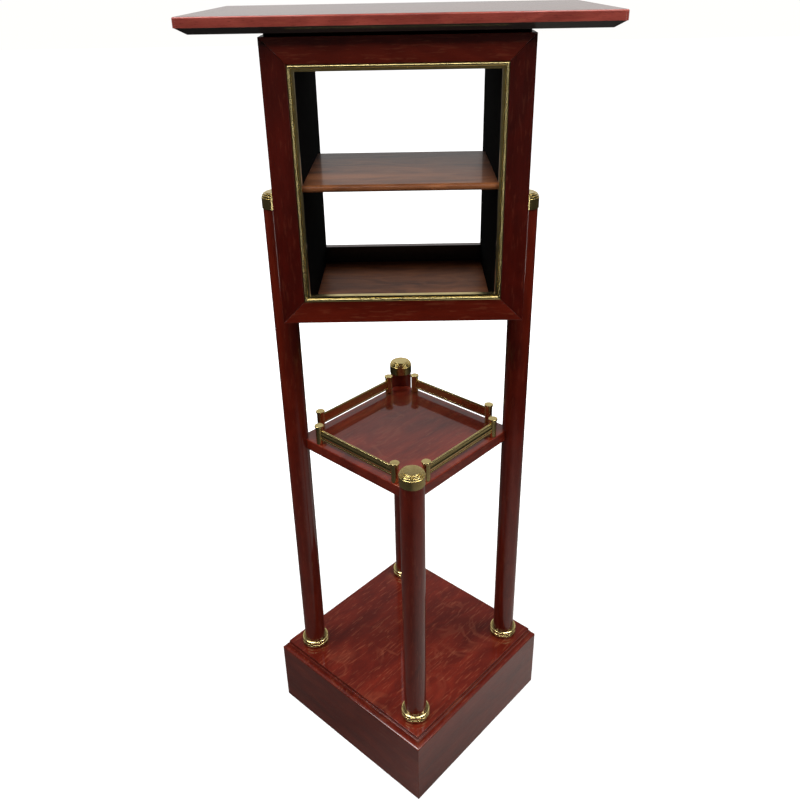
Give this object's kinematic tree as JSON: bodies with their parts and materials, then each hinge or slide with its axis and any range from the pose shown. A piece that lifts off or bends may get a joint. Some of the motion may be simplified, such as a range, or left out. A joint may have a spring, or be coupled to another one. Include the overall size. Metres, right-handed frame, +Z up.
{
  "type": "bible stand",
  "caption": "Free-standing pedestal bible stand: square plinth, round columns, tray with a brass gallery, open book box and a wide flat top board.",
  "frame": {"origin": "on the floor, under the middle of the stand", "axes": "+Z up; the open front of the book box faces -Y; +X is to the right seen from the front"},
  "size_m": [0.504, 0.4746, 1.206],
  "materials": {
    "mahogany": "gloss lacquered red-brown mahogany",
    "satin_wood": "satin brown straight-grained wood",
    "black_wood": "black stained and lacquered wood",
    "brass": "polished brass"
  },
  "bodies": {
    "root": {"back_rail_bottom": "mahogany", "back_rail_top": "mahogany", "back_stile_left": "mahogany", "back_stile_right": "mahogany", "box_floor": "satin_wood", "box_lid": "satin_wood", "box_shelf": "satin_wood", "brass_bead_bottom": "brass", "brass_bead_left": "brass", "brass_bead_right": "brass", "brass_bead_top": "brass", "column_back": "mahogany", "column_cap_back": "brass", "column_cap_front": "brass", "column_cap_left": "brass", "column_cap_right": "brass", "column_front": "mahogany", "column_left": "mahogany", "column_right": "mahogany", "foot_ring_back": "brass", "foot_ring_front": "brass", "foot_ring_left": "brass", "foot_ring_right": "brass", "front_rail_bottom": "mahogany", "front_rail_top": "mahogany", "front_stile_left": "mahogany", "front_stile_right": "mahogany", "gallery_post_back_a": "brass", "gallery_post_back_b": "brass", "gallery_post_front_a": "brass", "gallery_post_front_b": "brass", "gallery_post_left_a": "brass", "gallery_post_left_b": "brass", "gallery_post_right_a": "brass", "gallery_post_right_b": "brass", "gallery_rail_back_left": "brass", "gallery_rail_back_right": "brass", "gallery_rail_front_left": "brass", "gallery_rail_front_right": "brass", "lining_left": "black_wood", "lining_right": "black_wood", "plinth_board_back_left": "mahogany", "plinth_board_back_right": "mahogany", "plinth_board_front_left": "mahogany", "plinth_board_front_right": "mahogany", "plinth_top": "mahogany", "side_panel_left": "mahogany", "side_panel_right": "mahogany", "spacer": "black_wood", "top_board": "mahogany", "tray": "mahogany"}
  },
  "joints": []
}
